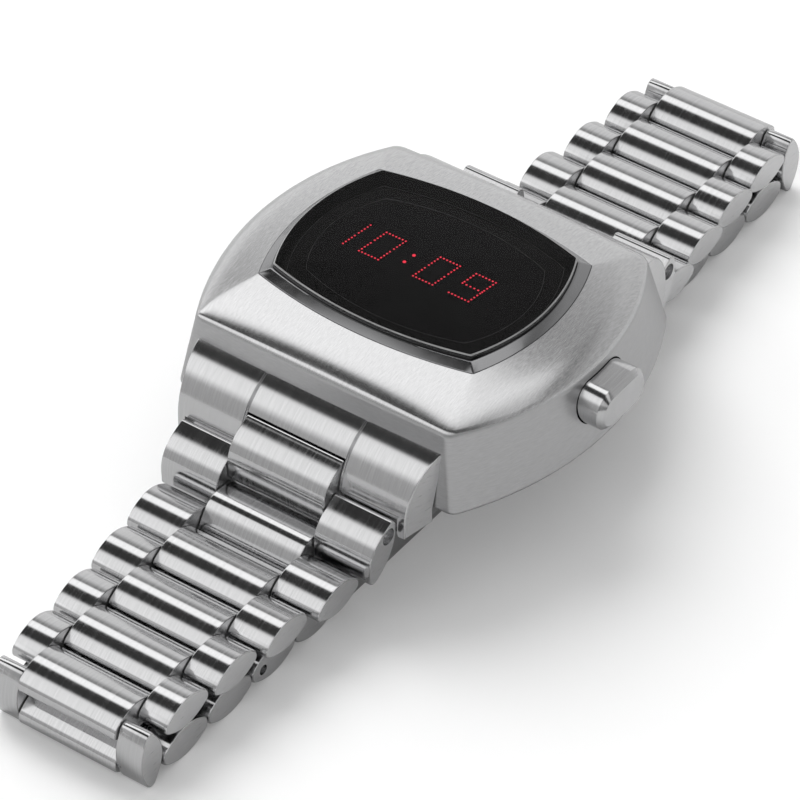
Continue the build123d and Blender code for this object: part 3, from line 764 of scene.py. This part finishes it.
def make_digits(materials):
    """All dots of the display as flat discs in one piece."""
    spots = []
    for offset, strokes in zip(digit_offsets, STROKES):
        spots += [(offset + x + y * digit_slant, y, dot_radius) for x, y in sorted(digit_dots(strokes))]
    spots += [(y * digit_slant, y, colon_radius) for y in (colon_low_y, colon_high_y)]
    points = []
    faces = []
    for x, y, radius in spots:
        centre = (digit_centre_x + x, digit_centre_y + y)
        circle = arc_points(centre, radius, 0, 2 * math.pi, dot_steps)[:-1]
        base = len(points)
        for z in (dot_z, dot_z + dot_thickness):
            points += [(px, py, z) for px, py in circle]
        top = base + dot_steps
        for k in range(dot_steps):
            after = (k + 1) % dot_steps
            faces.append((base + k, base + after, top + after, top + k))
        faces.append(tuple(top - 1 - k for k in range(dot_steps)))
        faces.append(tuple(top + k for k in range(dot_steps)))
    dots = add_mesh("display_digits", points, faces, [materials["dots"]])
    settle(dots, "case", "display_black")


# Bracelet

link_thickness = 3.1
link_clearance = 0.1
# The bow of a link's outer and inner side, and the share of its length that it takes
link_bow = 0.95
link_bow_below = 0.75
link_bow_share = 0.84
link_bow_steps = 30
link_end_steps = 8
link_end_fullness = 0.6
# The links of the upper layer stand higher and have wider gaps, and both layers are fuller on top
upper_layer_z = 4.0
upper_rise = 0.45
upper_clearance = 0.34
upper_bulge = 0.3
lower_bulge = 0.4
level_normal = 0.99
# Slopes above which a link is slanting, steep or upright
slant_slope = 0.1
steep_slope = 0.6
upright_slope = 0.9
# How much fuller the sloping links are on their outer side, and how far towards their second pin
slant_bulge = (0.3, -0.8)
steep_bulge = (0.15, 0.6)
far_steep_bulge = (-0.9, 0)
link_edge = 0.14
centre_half_width = 5.45
outer_gap = 0.06
links_per_side = 10
pin_hole_radius = 0.85
pin_hole_depth = 0.7
pin_hole_steps = 28
small_hole_radius = 0.52
small_hole_link = 9


def pin_places(side):
    """The pins of one bracelet half, from the case round to the clasp, as (y, z)."""
    places = {joint["name"]: joint["pos_m"] for joint in frame["joints"] if "pos_m" in joint}
    pins = []
    for k in range(2 * links_per_side):
        _, y, z = places[f"{side}_hinge_{k + 1:02d}"]
        pins.append(Vector((y, z)) / MM)
    pins.append(pins[-1] * 2 - pins[-2])
    return pins


def lens_half(half_length, height, bow, bulge=0.0, lean=0.0):
    """One side of a link's section, from one tip to the other: a long bow between rounded ends."""
    reach = half_length * link_bow_share
    slope = math.atan(2 * bow / reach)
    tip = Vector((half_length, 0))
    shoulder = Vector((reach, height - bow))
    near_tip = tip + Vector((0, shoulder.y * link_end_fullness))
    way = Vector((math.cos(slope), -math.sin(slope)))
    near_bow = shoulder + way * (half_length - reach) * link_end_fullness
    end = []
    for k in range(link_end_steps):
        t = k / link_end_steps
        end.append(
            tip * (1 - t)**3 + near_tip * 3 * t * (1 - t)**2 + near_bow * 3 * t**2 * (1 - t)
            + shoulder * t**3
        )
    points = list(end)
    for k in range(link_bow_steps + 1):
        share = 1 - 2 * k / link_bow_steps
        swell = bulge * (1 - share**2)**2 * (1 + lean * share)
        points.append(Vector((reach * share, height - bow * share**2 + swell)))
    points += [Vector((-point.x, point.y)) for point in reversed(end)]
    return points


def lens_section(start, end, inset, bulge, lean):
    """A link's section between two pins, shrunk by an inset, fuller on its outer side."""
    middle = (start + end) / 2
    along = (end - start).normalized()
    normal = Vector((-along.y, along.x))
    if normal.y < 0:
        normal = -normal
    half_length = (end - start).length - link_clearance / 2
    top = link_thickness / 2
    bottom = top
    if normal.y > level_normal:
        upper = middle.y > upper_layer_z
        middle.y += upper_rise * upper
        half_length -= (upper_clearance - link_clearance) / 2 * upper
        top += upper_bulge if upper else lower_bulge
        bottom -= upper_bulge / 2 * upper
    points = lens_half(half_length, top, link_bow, bulge, lean)
    below = lens_half(half_length, bottom, link_bow_below)
    points += [Vector((point.x, -point.y)) for point in below[-2:0:-1]]
    section = [middle + along * point.x + normal * point.y for point in points]
    if along.x * normal.y < along.y * normal.x:
        section.reverse()
    return shrink(section, inset)


def shrink(points, inset):
    """A closed line of points moved inwards, for a line that turns left."""
    moved = []
    for k, point in enumerate(points):
        before = (point - points[k - 1]).normalized()
        after = (points[(k + 1) % len(points)] - point).normalized()
        way = (before + after).normalized()
        moved.append(point + Vector((-way.y, way.x)) * inset)
    return moved


def bar_rings(start, end, low_x, high_x, bulge, lean):
    """Rings of a link bar from low_x to high_x, with softened side edges."""
    places = (
        (low_x, link_edge), (low_x + link_edge / 3, link_edge / 3), (low_x + link_edge, 0),
        (high_x - link_edge, 0), (high_x - link_edge / 3, link_edge / 3), (high_x, link_edge),
    )
    rings = []
    for x, inset in places:
        rings.append([Vector((x, *point)) for point in lens_section(start, end, inset, bulge, lean)])
    return rings


def make_bar(name, start, end, low_x, high_x, materials):
    """One bar of a link, along X, round two pins."""
    slope = abs(end.y - start.y) / (end - start).length
    bulge, lean = 0, 0
    if upright_slope > slope > steep_slope:
        bulge, lean = steep_bulge if start.x < 0 else far_steep_bulge
    elif steep_slope >= slope > slant_slope:
        bulge, lean = slant_bulge
    rings = bar_rings(start, end, low_x, high_x, bulge, lean)
    return skin(name, rings, materials, cap_material=1)


def join(pieces, name):
    """Joins pieces into the first one."""
    with bpy.context.temp_override(active_object=pieces[0], selected_editable_objects=pieces):
        bpy.ops.object.join()
    pieces[0].name = name
    return pieces[0]


def make_links(side, materials):
    """The bars of one bracelet half: a centre bar and a pair of outer bars for each link."""
    pins = pin_places(side)
    # The side faces take a lighter steel, which paints light on them
    steel = [materials["links"], materials["sides"]]
    for k in range(links_per_side):
        first = pins[2 * k]
        second = pins[2 * k + 1]
        third = pins[2 * k + 2]
        body = f"{side}_centre_link_{k + 1}"
        name = f"{side}_centre_bar_{k + 1}"
        centre = make_bar(name, first, second, -centre_half_width, centre_half_width, steel)
        finish_shading(centre, angle=35)
        settle(centre, body, "brushed_steel", body)
        body = f"{side}_outer_links_{k + 1}"
        outer_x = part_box(body)[1].x / MM
        inner_x = centre_half_width + outer_gap
        left = make_bar("left_bar", second, third, -outer_x, -inner_x, steel)
        right = make_bar("right_bar", second, third, inner_x, outer_x, steel)
        if k == 0:
            drill(left, second, pin_hole_radius, -1, outer_x)
            drill(right, second, pin_hole_radius, 1, outer_x)
        if side == "near" and k + 1 == small_hole_link:
            drill(right, second, small_hole_radius, 1, outer_x)
        pair = join([left, right], f"{side}_outer_bars_{k + 1}")
        finish_shading(pair, angle=35)
        settle(pair, body, "brushed_steel", body)


def drill(bar, pin, radius, way, outer_x):
    """A blind pin hole in the outer face of a bar, on its left (-1) or right (1)."""
    circle = arc_points(pin, radius, 0, 2 * math.pi, pin_hole_steps)[:-1]
    faces_x = sorted((way * (outer_x - pin_hole_depth), way * (outer_x + pin_hole_depth)))
    cut_hole(bar, circle, *faces_x)


# End links

end_half_width = 13.75
end_front_half_width = 12.85
end_back_y = 16.24
end_rim_y = 17.56
end_front_y = 21.15
end_top_z = 15.86
end_top_edge = 0.16
end_top_angle = math.radians(14)
end_radius = 6.1
end_bow_steps = 36
end_bottom_z = 8.3
end_groove_x = 5.47
end_groove_step = 0.09
end_groove_lines = 5
end_groove_depth = 0.12
end_edge = 0.14
notch_radius = 1.75
notch_steps = 24
notch_half_width = 5.51
scoop_steps = 40
scoop_half_width = 12.0
cut_overrun = 4
side_names = {-1: "near", 1: "far"}


def end_section(side):
    """The end link's section as (y, z): a leaning back, then one long bow over the top and front."""
    back = Vector((end_back_y, end_top_z - end_top_edge))
    start = math.pi / 2 - end_top_angle
    centre = Vector((end_back_y + end_top_edge, end_top_z))
    centre -= Vector((math.cos(start), math.sin(start))) * end_radius
    points = [Vector((end_rim_y, end_bottom_z)), Vector((end_rim_y, case_rim_z)), back]
    points += [Vector(point) for point in arc_points(centre, end_radius, start, 0, end_bow_steps)]
    points.append(Vector((centre.x + end_radius, end_bottom_z)))
    points = [Vector((side * y, z)) for y, z in points]
    return points if side < 0 else points[::-1]


def make_end_link(side, name, materials):
    """An end link, tapered to the front, with two double grooves, cut out for the first link."""
    section = end_section(side)
    area = sum(a.x * b.y - b.x * a.y for a, b in zip(section, section[1:] + section[:1]))
    if area < 0:
        section.reverse()
    taper = (end_half_width - end_front_half_width) / (end_front_y - end_back_y)

    def side_ring(end, inset, step):
        """A ring near the left (-1) or right (1) side face, which tapers to the front."""
        return [
            Vector((end * (end_half_width - taper * max(0, abs(y) - end_back_y) - step), y, z))
            for y, z in shrink(section, inset)
        ]

    edges = ((end_edge, 0), (end_edge / 3, end_edge / 3), (0, end_edge))
    rings = [side_ring(-1, inset, step) for inset, step in edges]
    for end in (-1, 1):
        for k in range(end_groove_lines)[::end]:
            inset = end_groove_depth if k % 2 else 0
            x = end * (end_groove_x + k * end_groove_step)
            rings.append([Vector((x, y, z)) for y, z in shrink(section, inset)])
    rings += [side_ring(1, inset, step) for inset, step in reversed(edges)]
    # The side faces take a lighter steel, which paints light on them
    looks = [materials["satin"], materials["sides"]]
    link = skin(f"{side_names[side]}_end_cap", rings, looks, cap_material=1)
    cut_out(link, side)
    finish_shading(link, angle=32)
    settle(link, "case", "brushed_steel", name)


def cut_out(link, side):
    """Makes room in an end link: a notch round the first pin, open below and in front, and a
    scoop round the second."""
    first, second = pin_places(side_names[side])[:2]
    low = first.y - cut_overrun
    right = first.x + notch_radius + cut_overrun * (side > 0)
    left = first.x - notch_radius - cut_overrun * (side < 0)
    notch = [(right, low), (right, first.y)]
    notch += arc_points(first, notch_radius, 0, math.pi, notch_steps)
    notch += [(left, first.y), (left, low)]
    cut_hole(link, notch, -notch_half_width, notch_half_width)
    scoop = arc_points(second, notch_radius, 0, 2 * math.pi, scoop_steps)[:-1]
    cut_hole(link, scoop, -scoop_half_width, scoop_half_width)


# CAD pieces that stay

cad_sharp_angle = math.radians(28)
cad_bevel_angle = math.radians(40)
cad_bevel_segments = 2
weld_distance = 1e-6


def smooth_group():
    """A node group that smooths faces but keeps edges sharp past an angle."""
    group = bpy.data.node_groups.new("smooth_by_angle", "GeometryNodeTree")
    group.interface.new_socket("Geometry", in_out="INPUT", socket_type="NodeSocketGeometry")
    group.interface.new_socket("Geometry", in_out="OUTPUT", socket_type="NodeSocketGeometry")
    start = group.nodes.new("NodeGroupInput")
    faces = group.nodes.new("GeometryNodeSetShadeSmooth")
    faces.domain = "FACE"
    angle = group.nodes.new("GeometryNodeInputMeshEdgeAngle")
    soft = group.nodes.new("FunctionNodeCompare")
    soft.operation = "LESS_THAN"
    soft.inputs[1].default_value = cad_sharp_angle
    edges = group.nodes.new("GeometryNodeSetShadeSmooth")
    edges.domain = "EDGE"
    end = group.nodes.new("NodeGroupOutput")
    wire(group, start, "Geometry", faces, "Geometry")
    wire(group, angle, "Unsigned Angle", soft, 0)
    wire(group, faces, "Geometry", edges, "Geometry")
    wire(group, soft, "Result", edges, "Shade Smooth")
    wire(group, edges, "Geometry", end, "Geometry")
    return group


def dress(node, material, group, bevel):
    """A CAD node's material, and its edges softened by a bevel in millimetres."""
    piece = nodes[node]
    piece.data.materials.clear()
    piece.data.materials.append(material)
    weld = piece.modifiers.new("weld", "WELD")
    weld.merge_threshold = weld_distance
    if bevel:
        edge = piece.modifiers.new("bevel", "BEVEL")
        edge.width = bevel * MM
        edge.segments = cad_bevel_segments
        edge.limit_method = "ANGLE"
        edge.angle_limit = cad_bevel_angle
    smooth = piece.modifiers.new("smooth", "NODES")
    smooth.node_group = group
    normals = piece.modifiers.new("normals", "WEIGHTED_NORMAL")
    normals.keep_sharp = True


FINISHES = {
    "led_display": "display", "circuit_board": "board", "module_holder": "holder", "battery": "cell",
    "battery_clip": "brass", "back_gasket": "rubber", "push_button": "satin",
    "near_spring_bar": "polished", "far_spring_bar": "polished",
    "clasp_button_left": "polished", "clasp_button_right": "polished", "case_back": "case",
}
BEVELS = {"push_button": 0.3}


def dress_frame(materials):
    group = smooth_group()
    for node in sorted(nodes):
        dress(node, materials[FINISHES.get(node, "links")], group, BEVELS.get(node, 0))


bpy.context.scene.view_settings.view_transform = "Standard"
make_camera()
make_studio()
make_floor()
make_lamp()
finishes = make_materials()
make_case(finishes)
make_rim(finishes)
make_glass(finishes)
make_mask(finishes)
make_digits(finishes)
make_links("near", finishes)
make_links("far", finishes)
make_end_link(-1, "near_end_link", finishes)
make_end_link(1, "far_end_link", finishes)
dress_frame(finishes)
